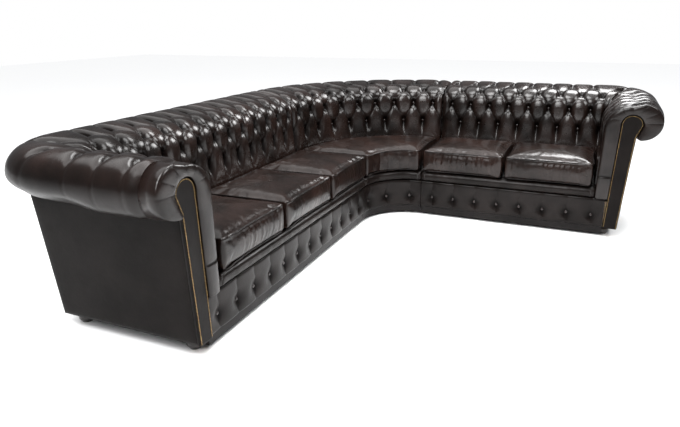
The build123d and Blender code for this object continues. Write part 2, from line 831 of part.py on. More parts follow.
bracket_top = foot_top - socket_thick - cushion_lift_clear
with BuildPart() as brackets:
    for unit in sides:
        for depth in bracket_depths:
            tail = corner_reach - joint_gap - board - connector_reach
            with BuildSketch(across(unit, tail)):
                with Locations((depth, bracket_top - connector_thick / 2)):
                    Rectangle(connector_width, connector_thick)
            extrude(amount=(run_start + board + connector_reach - tail) * run_sign[unit])
            with BuildSketch(across(unit, tail)):
                with Locations((depth, (bracket_top + foot_top) / 2)):
                    Rectangle(connector_width, foot_top - bracket_top)
            extrude(amount=(corner_reach - 3 * joint_gap - tail) * run_sign[unit])
            with BuildSketch(Plane.XY.offset(bracket_top)):
                peg_spot = place(unit, run_start + peg_along, depth, 0)
                with Locations(peg_spot[:2]):
                    Circle(peg_radius)
            extrude(amount=peg_height)
finish(brackets, "corner_joint_brackets")
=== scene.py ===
"""Looks of a deep buttoned leather corner sofa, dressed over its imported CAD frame."""

import json
import math
from functools import partial

import bpy
import numpy as np
from mathutils import Matrix, Vector


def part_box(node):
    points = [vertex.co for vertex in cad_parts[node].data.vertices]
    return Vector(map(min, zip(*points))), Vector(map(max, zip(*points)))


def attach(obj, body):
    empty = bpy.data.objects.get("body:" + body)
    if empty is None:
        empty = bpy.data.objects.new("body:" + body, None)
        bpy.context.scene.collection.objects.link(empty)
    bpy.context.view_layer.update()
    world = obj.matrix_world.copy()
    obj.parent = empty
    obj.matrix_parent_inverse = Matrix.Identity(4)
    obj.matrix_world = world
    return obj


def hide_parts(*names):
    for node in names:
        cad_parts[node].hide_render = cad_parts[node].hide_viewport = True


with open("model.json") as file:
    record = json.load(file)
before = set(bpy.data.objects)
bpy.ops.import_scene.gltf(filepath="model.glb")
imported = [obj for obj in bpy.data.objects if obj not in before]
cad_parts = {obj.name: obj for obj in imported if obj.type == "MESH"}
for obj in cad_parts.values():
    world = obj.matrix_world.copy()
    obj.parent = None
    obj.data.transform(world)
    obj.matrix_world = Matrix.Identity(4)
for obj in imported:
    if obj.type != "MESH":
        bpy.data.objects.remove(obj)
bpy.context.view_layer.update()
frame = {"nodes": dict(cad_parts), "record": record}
record = frame["record"]
body_of = {node: body for body, nodes in record["behaviour"]["bodies"].items() for node in nodes}
slot_of = {row["node"]: row["material_slot"] for row in record["subparts"]}

# Scroll sections of back and arm, in metres, as the solids have them
ROW_C = 0.520
ROW_STEPS = (0.118, 0.097, 0.125)
ROOF = 0.572
SEAT_BACK = 0.235
TUCK = 0.025
SLAB_BACK = 0.080
BACK = {"lean": 0.020, "shoulder": 0.090, "shoulder_z": 0.640, "roll_out": 0.244, "roll_radius": 0.090}
ARM = {"lean": 0.006, "shoulder": 0.115, "shoulder_z": 0.612, "roll_out": 0.182, "roll_radius": 0.085}

# Buttoning. Swell of a diamond, how much of it the hollow at a button takes, width of a fold, unevenness
TUFT_CROWN = 0.025
HOLLOW = 0.72
FOLD_WIDTH = 0.28
UNEVEN_TUFT = 0.08
# Reach of the hollow and of the pit in squared sines, and how far both go on past rows C and O
HOLLOW_REACH, PIT_REACH = 0.5, 0.16
PAST_C, PAST_O = 0.45, 0.27
FOLD_FADE, FADE_ROW = 0.92, 0.3
# Depth of a pit, share of it to which a button sinks, gathers about a button: height, count, place and width
PIT = 0.014
BUTTON_SINK = 0.75
GATHER = 0.0012
GATHER_COUNT, GATHER_PLACE, GATHER_WIDTH = 9, 0.5, 0.26
# Roll: row from which and rows over which it turns smooth, its lesser swell, its pleats and where they fade
SMOOTH_FROM, SMOOTH_OVER = 2.9, 0.8
ROLL_SINK = 0.25
BACK_PLEAT, ARM_PLEAT = 0.28, 0.11
PLEAT_WIDTH = 0.04
PLEAT_FADE, FADE_FROM, BACK_LATER = 0.8, 3.5, 0.3
# Ends of a pad, in half columns, and the half columns over which a roll swells out again after the fan
END_ROUND = 0.75
ARM_END_RISE = 0.62
ROLL_RELEASE = 2
# How much painted shade darkens a hollow and a fold, and how much the far side of the roll is painted darker
# as shade and made duller
HOLLOW_SHADE, FOLD_SHADE, ROLL_DULL_AND_SHADE = 0.85, 0.3, 0.6
DULL_FROM, DULL_OVER = 3.3, 0.8
# Half columns of each run, and steps to a half column
COLUMNS = {"left": 24, "corner": 18, "right": 16}
FAN_COLUMNS = 4
FAN_SQUARE = 0.75
ARM_COLUMNS = 6
BORDER_COLUMNS = {"left": 24, "corner": 6, "right": 16}
FINE = 16
TUCK_STEPS = 24
# Hold of an end cap, buttons, step for a normal and a direction that no normal has
HOLD = 0.0005
BUTTON_RADIUS = 0.011
BUTTON_RISE = 0.0065
NORMAL_STEP = 0.001
OBLIQUE = (0.31, 0.17, 0.93)

# Fronts, as depths from the back line, and the arm front
BORDER_FRONT, BORDER_BACK = 0.696, 0.676
BORDER_SINK = 0.018
BORDER_BUTTON_Z = 0.118
BORDER_ROWS = 41
# Border pleats: how far they wander and how often, height of a pit, sink above and below it, sharpness of a
# crest and how much blunter it is at a pit, how much painted shade darkens pits and pleats, edge roll
WANDER, WANDER_WAVES, WANDER_EASE = 0.10, 60, 0.05
PIT_HEIGHT = 0.034
PLEAT_SINK = 0.32
CREST_POWER, CREST_PIT = 0.45, 0.35
PIT_SHADE, PLEAT_SHADE, SHADE_FROM = 1.4, 0.2, 0.15
EDGE_ROLL, EDGE_SHARE = 0.009, 0.10
LIP_BACK, LIP_FRONT = 0.620, 0.708
LIP_SQUARE, DECK_SQUARE = 2.6, 9.0
LIP_WAVE = 0.02
RUN_END = 0.020
RUN_STEP, RUN_END_STEPS, RUN_AROUND = 0.008, 7, 40
RUN_END_DRAW = 0.16
RING_BACK, RING_FRONT = 0.640, 0.718
RING_SWELL = 0.012
RING_ROUND = 0.020
FACING_IN, FACING_OUT = 0.045, 0.119
FACING_FRONT, FACING_BACK = 0.704, 0.690
NECK_OUT, NECK_Z = 0.158, 0.574
HEAD_OUT, HEAD_Z, HEAD_RADIUS = 0.131, 0.640, 0.054
TRIM_INSET = 0.006
BEAD_PITCH, BEAD_RADIUS = 0.0056, 0.0022
BEAD_START = 0.006
FACING_EDGE, FACING_EDGE_WIDTH = 0.006, 0.007
FACING_ROWS, HEAD_ROWS, FACING_ACROSS = 70, 26, 25
FACING_LEAST = 0.0005
# Arm ring: share of the rim over the head, pleats over it, their depth, the sewn fold below and its depth
HEAD_SHARE = 0.8
RING_PLEATS, RING_PLEAT_DEPTH = 8, 0.0022
PLEATS_IN, PLEATS_END, PLEATS_OUT = 0.08, 0.82, 0.1
PLEAT_POWER, DOME_POWER = 0.3, 0.55
RING_FOLD_Z, RING_FOLD_WIDTH, RING_FOLD_DEPTH = 0.352, 0.006, 0.0035
RING_BACK_SWELL = 0.93
RING_DULL = 0.35
RING_STEPS, RING_AROUND = 361, 29
FIT = 0.0003
JOINT_GAP = 0.002
JOINT_TURN = math.radians(0.3)

# Places read from the frame
UNITS = ("left", "corner", "right")
SIDES = ("left", "right")
border_box = {unit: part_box(f"{unit}_front_border") for unit in SIDES}
CORNER_X = border_box["left"][1].x - BORDER_FRONT
CORNER_Y = border_box["right"][0].y + BORDER_FRONT
RUN_START = CORNER_Y - border_box["left"][1].y
REACH = RUN_START - JOINT_GAP
FOOT_HEIGHT, BORDER_TOP = border_box["left"][0].z, border_box["left"][1].z
PAD_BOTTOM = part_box("left_back_pad")[0].z
LIP_BOTTOM, LIP_TOP = (corner.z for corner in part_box("left_seat_lip"))
DECK_BOTTOM, DECK_TOP = (corner.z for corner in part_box("left_seat_deck"))
DECK_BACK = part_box("left_seat_deck")[0].x - CORNER_X
RING_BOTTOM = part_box("left_arm_ring")[0].z
PANEL_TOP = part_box("left_outside_arm")[1].z
ARM_FACE = {
    "left": CORNER_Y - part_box("left_arm_facing")[1].y - FACING_IN,
    "right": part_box("right_arm_facing")[0].x - CORNER_X - FACING_IN,
}
DECK_PAST = CORNER_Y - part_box("left_seat_deck")[0].y - ARM_FACE["left"]


def ease(x):
    """Smooth step from 0 to 1: three x squared less two x cubed, held at both ends."""
    x = np.clip(x, 0.0, 1.0)
    return x * x * (3 - 2 * x)


def rounded(x):
    """Quarter circle from 0 to 1, for an edge that is drawn in."""
    return np.sqrt(1 - (1 - np.clip(x, 0.0, 1.0)) ** 2)


def held(steps):
    """The same steps with one more close to each end, so that an end cap turns the shading over no width."""
    return np.concatenate([steps[:1], steps[:1] + HOLD, steps[1:-1], steps[-1:] - HOLD, steps[-1:]])


def ripple(*terms):
    """Sum of sines, each of (values, waves, shift, height): a smooth unevenness without chance in it."""
    return sum(height * np.sin(values * waves + shift) for values, waves, shift, height in terms)


def place(unit, along, depth, z):
    """Points of a unit from the length along its run (an angle in the corner), the depth from its back line
    and the height."""
    along, depth, z = np.broadcast_arrays(along, depth, z)
    if unit == "left":
        return np.stack([CORNER_X + depth, CORNER_Y - along, z], -1)
    if unit == "right":
        return np.stack([CORNER_X + along, CORNER_Y - depth, z], -1)
    radius = REACH - depth
    x = CORNER_X + REACH - radius * np.cos(along)
    return np.stack([x, CORNER_Y - REACH + radius * np.sin(along), z], -1)


def run_ends(unit, past_arm=0.0):
    """Start and stop of a piece along its run, the stop set from the inside arm."""
    if unit == "corner":
        return JOINT_TURN, math.pi / 2 - JOINT_TURN
    return RUN_START, ARM_FACE[unit] + past_arm


def run_length(unit, depth, past_arm):
    """Metres from start to stop at a depth: straight, or the arc of that radius round the corner."""
    start, stop = run_ends(unit, past_arm)
    return (stop - start) * (REACH - depth if unit == "corner" else 1.0)


def ring_faces(count, around, heights=None):
    """Faces of a row of closed rings with a cap at each end: quads, or where heights are given triangles
    split along the lower diagonal."""
    i = np.arange(count - 1)[:, None] * around
    j = np.arange(around)[None, :]
    k = (j + 1) % around
    a, b, c, d = (corner.ravel() for corner in (i + j, i + k, i + around + k, i + around + j))
    caps = [np.arange(around)[::-1], (count - 1) * around + np.arange(around)]
    if heights is None:
        return np.stack([a, b, c, d], 1), caps
    h = heights.ravel()
    low = (h[a] + h[c] <= h[b] + h[d])[:, None]
    first = np.where(low, np.stack([a, b, c], 1), np.stack([a, b, d], 1))
    second = np.where(low, np.stack([a, c, d], 1), np.stack([b, c, d], 1))
    return np.concatenate([first, second]), caps


def new_piece(name, points, faces, caps=(), values=None):
    """Object at the origin, its place in its mesh, its faces turned outwards by the sign of the volume."""
    points = np.asarray(points, float).reshape(-1, 3)
    middle = points.mean(0)
    a, b, c = (points[faces[:, i]] - middle for i in range(3))
    volume = np.einsum("ij,ij->", a, np.cross(b, c))
    if faces.shape[1] == 4:
        d = points[faces[:, 3]] - middle
        volume += np.einsum("ij,ij->", a, np.cross(c, d))
    if volume < 0:
        faces, caps = faces[:, ::-1], [cap[::-1] for cap in caps]
    mesh = bpy.data.meshes.new(name)
    mesh.from_pydata(points.tolist(), [], faces.tolist() + [cap.tolist() for cap in caps])
    mesh.polygons.foreach_set("use_smooth", [True] * len(faces) + [False] * len(caps))
    for key, data in (values or {}).items():
        layer = mesh.attributes.new(key, "FLOAT", "POINT")
        layer.data.foreach_set("value", np.asarray(data, np.float32).ravel())
    mesh.update()
    piece = bpy.data.objects.new(name, mesh)
    bpy.context.scene.collection.objects.link(piece)
    return piece


def dress(piece, node, finish):
    """Put a finished piece in place of a CAD node: its material and body, and hide the node."""
    piece.data.materials.clear()
    piece.data.materials.append(finish)
    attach(piece, body_of[node])
    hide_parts(node)
    return piece


def flat_top(shape):
    """How far the short straight top of a scroll runs out and up, from its shoulder to its roll."""
    out = shape["roll_out"] - shape["lean"] - shape["shoulder"]
    return out, ROOF + 2 * shape["roll_radius"] - shape["shoulder_z"] - shape["shoulder"]


def scroll(shape, reach):
    """Distance out, height and outward normal at lengths above row C: an upright face, a shoulder arc,
    a short straight top and a round roll, added up from how far each of them has been passed."""
    face = shape["shoulder_z"] - ROW_C
    arc = shape["shoulder"] * math.pi / 2
    radius = shape["roll_radius"]
    top_out, top_rise = flat_top(shape)
    top = math.hypot(top_out, top_rise)
    upright = ROW_C + np.minimum(reach, face)
    bend = np.clip((reach - face) / shape["shoulder"], 0, math.pi / 2)
    level = np.clip((reach - face - arc) / top, 0, 1)
    roll = np.maximum((reach - face - arc - top) / radius, 0)
    lean = shape["lean"] * np.maximum(upright - PAD_BOTTOM, 0) / (shape["shoulder_z"] - PAD_BOTTOM)
    out = lean + shape["shoulder"] * (1 - np.cos(bend)) + top_out * level + radius * np.sin(roll)
    z = upright + shape["shoulder"] * np.sin(bend) + top_rise * level - radius * (1 - np.cos(roll))
    return out, z, -np.cos(bend + roll), np.sin(bend + roll)


def roll_start(shape):
    """Length above row C at which the round roll begins."""
    return shape["shoulder_z"] - ROW_C + shape["shoulder"] * math.pi / 2 + math.hypot(*flat_top(shape))


def section(shape, k):
    """Scroll section at row numbers: tuck-in -2, rows C, B, A and O 0 to 3, outermost roll 4, its end 5."""
    rows = np.cumsum((0.0, *ROW_STEPS))
    turn = roll_start(shape) + shape["roll_radius"] * np.array([0.5, 1.0]) * math.pi
    return scroll(shape, np.interp(k, [-2, 0, 1, 2, 3, 4, 5], [PAD_BOTTOM - ROW_C, *rows, *turn]))


def mixed_section(unit, column, k):
    """Section of a back that turns into the arm's over the fan columns, by the squared sine of the turn."""
    turn = np.clip((column - COLUMNS[unit]) / FAN_COLUMNS, 0, 1) * math.pi / 2
    share = np.sin(turn) ** 2
    return tuple(b + (a - b) * share for b, a in zip(section(BACK, k), section(ARM, k)))


def spread(unit, column, out, z):
    """Place of section points at half columns: along the run, round the inside corner, then along the arm.
    The turn is a circle drawn a little square, by a power of its sine and cosine."""
    start, stop = run_ends(unit, -TUCK)
    along = start + (stop - start) * np.minimum(column, COLUMNS[unit]) / COLUMNS[unit]
    if unit == "corner":
        return place(unit, along, SEAT_BACK - out, z)
    past = np.maximum(column - COLUMNS[unit], 0)
    turn = np.clip(past / FAN_COLUMNS, 0, 1) * math.pi / 2
    travel = (RING_BACK - SEAT_BACK - TUCK) * np.clip((past - FAN_COLUMNS) / ARM_COLUMNS, 0, 1)
    depth = SEAT_BACK + TUCK - (TUCK + out) * np.abs(np.cos(turn)) ** FAN_SQUARE + travel
    return place(unit, along + (TUCK + out) * np.sin(turn) ** FAN_SQUARE, depth, z)


def swelling(unit, column, out, k):
    """How freely a tuft swells: rounded off at joints and under the roll, eased down to the ring's level at
    the arm front and held back in the tight fan, after which the roll swells out again slowly."""
    last = COLUMNS[unit]
    free = rounded(column / END_ROUND) * rounded((5 - k) / 0.5)
    if unit == "corner":
        return free * rounded((last - column) / END_ROUND)
    front = ease((last + FAN_COLUMNS + ARM_COLUMNS - column) / END_ROUND)
    free = free * (ARM_END_RISE + (1 - ARM_END_RISE) * front)
    release = 1 + ROLL_RELEASE * ease(k - 3)
    tight = ease(column - last) * (1 - ease((column - last - FAN_COLUMNS) / release))
    room = np.minimum(1, (out + TUCK) / (TUCK + BACK["shoulder"])) * (1 - ease((k - 4) / 0.5))
    return free * (1 - tight * (1 - room))


def tufted_pad(name, unit, first, last, rows):
    """Deep buttoned pad between two half columns: the scroll section pushed out along its normal.

    Two diagonal sines are zero along the folds and both are zero at a button. A diamond is full, less a bell
    of their squares at each button and less an exponential of the nearer one along the folds. Beyond row O it
    turns into a smooth roll with straight pleats. A narrower bell sinks the pit, and a sine of the angle
    about the button gathers the hide."""
    column = held(np.linspace(first, last, (last - first) * FINE + 1))[:, None]
    k = rows[None, :]
    out, z, normal_out, normal_z = mixed_section(unit, column, k)
    level = np.clip(k, 0, 3)
    rising = np.sin(math.pi / 2 * (column + level))
    falling = np.sin(math.pi / 2 * (column - level))
    lift = np.abs(rising * falling)
    across = rising**2 + falling**2
    past = np.exp(-(((k - level) / np.where(k < 0, PAST_C, PAST_O)) ** 2))
    hollow = np.exp(-across / HOLLOW_REACH) * past
    fold = np.exp(-np.minimum(np.abs(rising), np.abs(falling)) / FOLD_WIDTH)
    fold = fold * (1 - FOLD_FADE * ease(FADE_ROW - k))
    diamond = 1 - HOLLOW * hollow - (1 - HOLLOW) * fold
    smooth_roll = ease((k - SMOOTH_FROM) / SMOOTH_OVER)
    on_back = 1.0 if unit == "corner" else 1 - ease((column - COLUMNS[unit] + 1) / 2)
    pleat = ARM_PLEAT + (BACK_PLEAT - ARM_PLEAT) * on_back
    pleat = pleat * (1 - PLEAT_FADE * ease(k - FADE_FROM - BACK_LATER * on_back))
    pillow = diamond * (1 - smooth_roll) + (1 - pleat * np.exp(-lift / PLEAT_WIDTH)) * smooth_roll
    tuft = np.floor((column + level) / 2) * 12.9 + np.floor((column - level) / 2) * 78.2
    full = 1 + UNEVEN_TUFT * np.sin(tuft) * np.sqrt(lift) * (1 - smooth_roll)
    pit = np.exp(-across / PIT_REACH) * past
    button = np.round((column + level) / 2) * 4.1 + np.round((column - level) / 2) * 2.3
    spokes = np.sin(GATHER_COUNT * np.arctan2(falling, rising) + button)
    gather = spokes * np.exp(-(((np.sqrt(across) - GATHER_PLACE) / GATHER_WIDTH) ** 2)) * past
    crown = TUFT_CROWN * pillow * full * (1 - ROLL_SINK * smooth_roll) - PIT * pit + GATHER * gather
    crown = swelling(unit, column, out, k) * crown
    out, z = np.broadcast_arrays(out + normal_out * crown, z + normal_z * crown)
    slab = np.full((len(column), 1), SLAB_BACK)
    none = np.zeros((len(column), 2))
    out = np.concatenate([out, slab, slab], 1)
    z = np.concatenate([z, slab * 0 + ROOF, slab * 0 + PAD_BOTTOM], 1)
    height = np.concatenate([np.broadcast_to(pillow, crown.shape), none], 1)
    # Crease attribute: painted shade, darker where shade falls in the hollows and folds and on the far side
    # of the roll, which is also made duller there
    crease = HOLLOW_SHADE * hollow + FOLD_SHADE * fold**2 * (1 - smooth_roll)
    crease = np.clip(crease + ROLL_DULL_AND_SHADE * ease((k - DULL_FROM) / DULL_OVER), 0, 1)
    crease = np.concatenate([crease, none], 1)
    faces, caps = ring_faces(*out.shape, heights=height)
    return new_piece(name, spread(unit, column, out, z), faces, caps, {"crease": crease})


def button_places(unit):
    """Points and normals of the buttons: every second crossing of whole half columns and rows C to O."""
    columns = np.arange(1, COLUMNS[unit] + FAN_COLUMNS + ARM_COLUMNS)
    column, k = (grid.ravel() for grid in np.meshgrid(columns, np.arange(4)))
    on_back = column < COLUMNS[unit]
    on_arm = (column > COLUMNS[unit] + FAN_COLUMNS) & (unit != "corner")
    kept = ((column + k) % 2 == 0) & (on_back | on_arm)
    column, k = column[kept].astype(float), k[kept].astype(float)
    out, z, normal_out, normal_z = mixed_section(unit, column, k)
    base = spread(unit, column, out, z)
    normal = spread(unit, column, out + normal_out * NORMAL_STEP, z + normal_z * NORMAL_STEP) - base
    normal /= np.linalg.norm(normal, axis=1)[:, None]
    return base - normal * PIT * BUTTON_SINK, normal


def border_places(unit):
    """Points and normals of the buttons along a front border, one in every second half column."""
    start, stop = run_ends(unit, FACING_IN)
    along = start + (stop - start) * np.arange(1, BORDER_COLUMNS[unit], 2) / BORDER_COLUMNS[unit]
    base = place(unit, along, BORDER_FRONT - BORDER_SINK, BORDER_BUTTON_Z)
    normal = place(unit, along, BORDER_FRONT - BORDER_SINK + 1, BORDER_BUTTON_Z) - base
    return base, normal


def studs(name, centres, normals, radius, rise, around, rings):
    """Small flattened balls, each a half turn of rings between two poles, set along normals at points."""
    polar = np.linspace(0, math.pi, rings + 2)[1:-1]
    round_turn = np.arange(around) * 2 * math.pi / around
    ball = np.stack(np.broadcast_arrays(
        np.sin(polar)[:, None] * np.cos(round_turn), np.sin(polar)[:, None] * np.sin(round_turn),
        np.cos(polar)[:, None]), -1).reshape(-1, 3)
    ball = np.concatenate([ball, [[0, 0, 1], [0, 0, -1]]]) * (radius, radius, rise)
    side = np.cross(normals, OBLIQUE)
    side /= np.linalg.norm(side, axis=1)[:, None]
    other = np.cross(normals, side)
    points = (centres[:, None] + ball[:, 0, None] * side[:, None] + ball[:, 1, None] * other[:, None]
              + ball[:, 2, None] * normals[:, None])
    i = np.arange(rings - 1)[:, None] * around
    j = np.arange(around)[None, :]
    k = (j + 1) % around
    quads = np.stack([corner.ravel() for corner in (i + j, i + around + j, i + around + k, i + k)], 1)
    top, bottom, low = rings * around, rings * around + 1, (rings - 1) * around
    j, k = j[0], k[0]
    lids = np.concatenate([np.stack([j * 0 + top, j, k], 1), np.stack([j * 0 + bottom, low + k, low + j], 1)])
    step = np.arange(len(centres))[:, None, None] * len(ball)
    tris = np.concatenate([quads[:, [0, 1, 2]], quads[:, [0, 2, 3]], lids])
    return new_piece(name, points, (step + tris).reshape(-1, 3))


def padded_run(name, unit, depth, z, half_depth, half_height, square, past_arm, wave):
    """Stuffed strip along a run: a superellipse section, uneven by a few sines, rounded off at both ends."""
    length = run_length(unit, depth, past_arm)
    start, stop = run_ends(unit, past_arm)
    metres = np.concatenate([
        np.linspace(0, RUN_END, RUN_END_STEPS),
        np.linspace(RUN_END, length - RUN_END, int(length / RUN_STEP)),
        np.linspace(length - RUN_END, length, RUN_END_STEPS)])[:, None]
    along = start + (stop - start) * metres / length
    turn = np.linspace(0, 2 * math.pi, RUN_AROUND, endpoint=False)[None, :]
    power = 2 / square
    drawn = rounded(np.minimum(metres, length - metres) / RUN_END + 0.02) * RUN_END_DRAW + 1 - RUN_END_DRAW
    uneven = 1 + wave * ripple(
        (metres, 61, 0.4, 0.5), (metres, 133, 1.7, 0.35), (metres + 0.2 * np.sin(turn), 290, 0.3, 0.3))
    across = np.sign(np.cos(turn)) * np.abs(np.cos(turn)) ** power * half_depth * drawn * uneven
    up = np.sign(np.sin(turn)) * np.abs(np.sin(turn)) ** power * half_height * drawn
    points = place(unit, along, depth + across, z + up)
    return new_piece(name, points, *ring_faces(len(metres), turn.size))


def border_run(name, unit):
    """Padded front border: the front drawn in at each button and, less, straight above and below it,
    by a power of the cosine between columns, with its top and bottom edges rounded off."""
    start, stop = run_ends(unit, 0.0 if unit == "corner" else FACING_IN - FIT)
    column = held(np.linspace(0, BORDER_COLUMNS[unit], BORDER_COLUMNS[unit] * FINE + 1))[:, None]
    along = start + (stop - start) * column / BORDER_COLUMNS[unit]
    share = np.linspace(0, 1, BORDER_ROWS)[None, :]
    z = FOOT_HEIGHT + (BORDER_TOP - FOOT_HEIGHT) * share
    above = z - BORDER_BUTTON_Z
    bend = WANDER * np.sin(above * WANDER_WAVES) * ease(np.abs(above) / WANDER_EASE)
    crest = np.abs(np.cos(math.pi / 2 * (column + bend)))
    reach = np.exp(-((above / PIT_HEIGHT) ** 2))
    crease = (PLEAT_SINK + (1 - PLEAT_SINK) * reach) * (1 - crest ** (CREST_POWER + CREST_PIT * reach))
    edge = EDGE_ROLL * (1 - rounded(np.minimum(share, 1 - share) / EDGE_SHARE))
    depth = BORDER_FRONT - BORDER_SINK * crease - edge
    depth = np.concatenate([depth, np.full((len(column), 2), BORDER_BACK)], 1)
    z = np.concatenate([z, [[BORDER_TOP, FOOT_HEIGHT]]], 1)
    # Painted shade: the pits and pleats darker where shade falls, kept in the crease attribute
    dark = np.clip(PIT_SHADE * crease * reach + PLEAT_SHADE * crease - SHADE_FROM, 0, 1)
    dark = np.concatenate([dark, np.zeros((len(column), 2))], 1)
    faces, caps = ring_faces(*depth.shape)
    return new_piece(name, place(unit, along, depth, z), faces, caps, {"crease": dark})


def arm_out(z):
    """Distance of the outside arm from the inside arm at heights: a straight line leaning out to the top."""
    return FACING_OUT + (NECK_OUT - FACING_OUT) * (z - FOOT_HEIGHT) / (NECK_Z - FOOT_HEIGHT)


def facing_sides(z):
    """Inner and outer edge of the arm facing at heights: two leaning lines that end in a round head."""
    lift = (z - FOOT_HEIGHT) / (HEAD_Z - FOOT_HEIGHT)
    chord = np.sqrt(np.maximum(HEAD_RADIUS**2 - (z - HEAD_Z) ** 2, 0))
    inner = np.where(z < HEAD_Z, FACING_IN + (HEAD_OUT - HEAD_RADIUS - FACING_IN) * lift, HEAD_OUT - chord)
    cheek = NECK_OUT + (HEAD_OUT + HEAD_RADIUS - NECK_OUT) * (z - NECK_Z) / (HEAD_Z - NECK_Z)
    outer = np.where(z < NECK_Z, arm_out(z), np.where(z < HEAD_Z, cheek, HEAD_OUT + chord))
    return inner, outer


def arm_facing(name, unit):
    """Flat facing: strips across between its two edges, nearly flat in front, rolled back at the edges."""
    head = HEAD_Z + HEAD_RADIUS * np.sin(np.linspace(0, math.pi / 2, HEAD_ROWS))
    z = np.concatenate([np.linspace(FOOT_HEIGHT, HEAD_Z, FACING_ROWS)[:-1], head])[:, None]
    inner, outer = facing_sides(z)
    across = np.linspace(-1, 1, FACING_ACROSS)[None, :]
    half = np.maximum((outer - inner) / 2, FACING_LEAST)
    front = FACING_FRONT - FACING_EDGE * (1 - rounded((1 - np.abs(across)) * half / FACING_EDGE_WIDTH))
    middle = (inner + outer) / 2
    out = np.concatenate([middle + half * across, middle + half, middle - half], 1)
    depth = np.concatenate([front, np.full((len(z), 2), FACING_BACK)], 1)
    points = place(unit, ARM_FACE[unit] + out, depth, z)
    return new_piece(name, points, *ring_faces(*depth.shape))


def beaded_line(name, unit):
    """Beads at equal steps up the inner edge of the facing, round its head and down the outer edge, all set
    in a little."""
    z = np.linspace(FOOT_HEIGHT + BEAD_START, HEAD_Z, 200)
    inner, outer = facing_sides(z)
    turn = np.linspace(math.pi, 0, 120)
    head = HEAD_RADIUS - TRIM_INSET
    line = np.concatenate([
        np.stack([inner + TRIM_INSET, z], 1),
        np.stack([HEAD_OUT + head * np.cos(turn), HEAD_Z + head * np.sin(turn)], 1),
        np.stack([outer - TRIM_INSET, z], 1)[::-1]])
    length = np.concatenate([[0], np.cumsum(np.linalg.norm(np.diff(line, axis=0), axis=1))])
    steps = np.arange(BEAD_PITCH, length[-1], BEAD_PITCH)
    out, z = np.interp(steps, length, line[:, 0]), np.interp(steps, length, line[:, 1])
    centres = place(unit, ARM_FACE[unit] + out, FACING_FRONT, z)
    normals = place(unit, ARM_FACE[unit] + out, FACING_FRONT + 1, z) - centres
    return studs(name, centres, normals, BEAD_RADIUS, BEAD_RADIUS, 6, 2)


def ring_inner(reach, stop):
    """Inner line of the ring beside the facing: up its edge, over the head and down the cheek to the roof."""
    face = ARM["shoulder_z"] - ROW_C
    share = (reach - face) / (stop - face)
    turn = math.pi * (1 - np.clip(share / HEAD_SHARE, 0, 1))
    down = np.clip((share - HEAD_SHARE) / (1 - HEAD_SHARE), 0, 1)
    clear = HEAD_RADIUS + 5 * FIT
    head_out = HEAD_OUT + clear * np.cos(turn) + (arm_out(ROOF) + 3 * FIT - HEAD_OUT - clear) * down
    head_z = HEAD_Z + clear * np.sin(turn) + (ROOF - HEAD_Z) * down
    z = ROW_C + reach
    edge = facing_sides(np.minimum(z, HEAD_Z))[0] - FIT
    return np.where(share < 0, edge, head_out), np.where(share < 0, z, head_z)


def arm_ring(name, unit):
    """Padded ring round the facing: from the rim of the scroll to the facing's edge, domed by a power of a
    sine, and gathered in pleats over the head by a power of a sine along it."""
    face = ARM["shoulder_z"] - ROW_C
    stop = roll_start(ARM) + ARM["roll_radius"] * math.pi
    reach = np.linspace(RING_BOTTOM - ROW_C, stop, RING_STEPS)[:, None]
    out, z, normal_out, normal_z = scroll(ARM, reach)
    over = np.clip((reach - face) / (stop - face), 0, 1)
    gather = ease(over / PLEATS_IN) * (1 - ease((over - PLEATS_END) / PLEATS_OUT))
    waves = np.abs(np.sin(math.pi * RING_PLEATS * over + 0.3 * np.sin(over * 19)))
    pleat = (1 - waves**PLEAT_POWER) * gather
    fold = np.exp(-(((z - RING_FOLD_Z) / RING_FOLD_WIDTH) ** 2)) * (reach < face)
    inner_out, inner_z = ring_inner(reach, stop)
    turn = np.linspace(0, math.pi, RING_AROUND)[None, :]
    share = (1 - np.cos(turn)) / 2
    low = np.where(share < 0.5, RING_FRONT - RING_ROUND, FACING_FRONT)
    dome = np.sin(turn) ** DOME_POWER
    depth = low + (RING_FRONT - low) * dome
    groove = RING_PLEAT_DEPTH * pleat * (1 - 0.6 * share) + RING_FOLD_DEPTH * fold
    groove = groove * np.sin(turn) ** 0.5
    swell = RING_SWELL * (1 - 0.12 * pleat) * rounded((share * 2) + 0.55)
    rim_out, rim_z = out + normal_out * swell, z + normal_z * swell
    points_out = rim_out + (inner_out - rim_out) * share
    points_z = rim_z + (inner_z - rim_z) * share
    wall = np.full((len(reach), 1), RING_BACK)
    points_out = np.concatenate([points_out, inner_out, out + normal_out * RING_SWELL * RING_BACK_SWELL], 1)
    points_z = np.concatenate([points_z, inner_z, z + normal_z * RING_SWELL * RING_BACK_SWELL], 1)
    depth = np.concatenate([depth - groove, wall, wall], 1)
    # Painted shade in the pleat grooves and the sewn fold, added to an even darker and duller finish of the
    # whole ring, kept in the crease attribute
    dark = np.concatenate([np.clip(RING_DULL + groove / 0.006, 0, 1), wall * 0, wall * 0], 1)
    points = place(unit, ARM_FACE[unit] + points_out, depth, points_z)
    return new_piece(name, points, *ring_faces(*depth.shape), {"crease": dark})


# Outside panels: lean of the back, thickness, padding and the shares of height and length that it rounds off
BACK_FOOT = 0.029
BACK_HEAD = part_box("left_outside_back")[0].x - CORNER_X
PANEL_THICK = 0.010
PANEL_SWELL = 0.004
PANEL_ROUND_UP, PANEL_ROUND_ALONG = 0.12, 0.05
PANEL_COLUMNS, PANEL_ROWS = 121, 41


def back_out(z):
    """Depth of the outside back at heights: a straight line leaning out towards the top."""
    return BACK_FOOT + (BACK_HEAD - BACK_FOOT) * (z - FOOT_HEIGHT) / (PANEL_TOP - FOOT_HEIGHT)


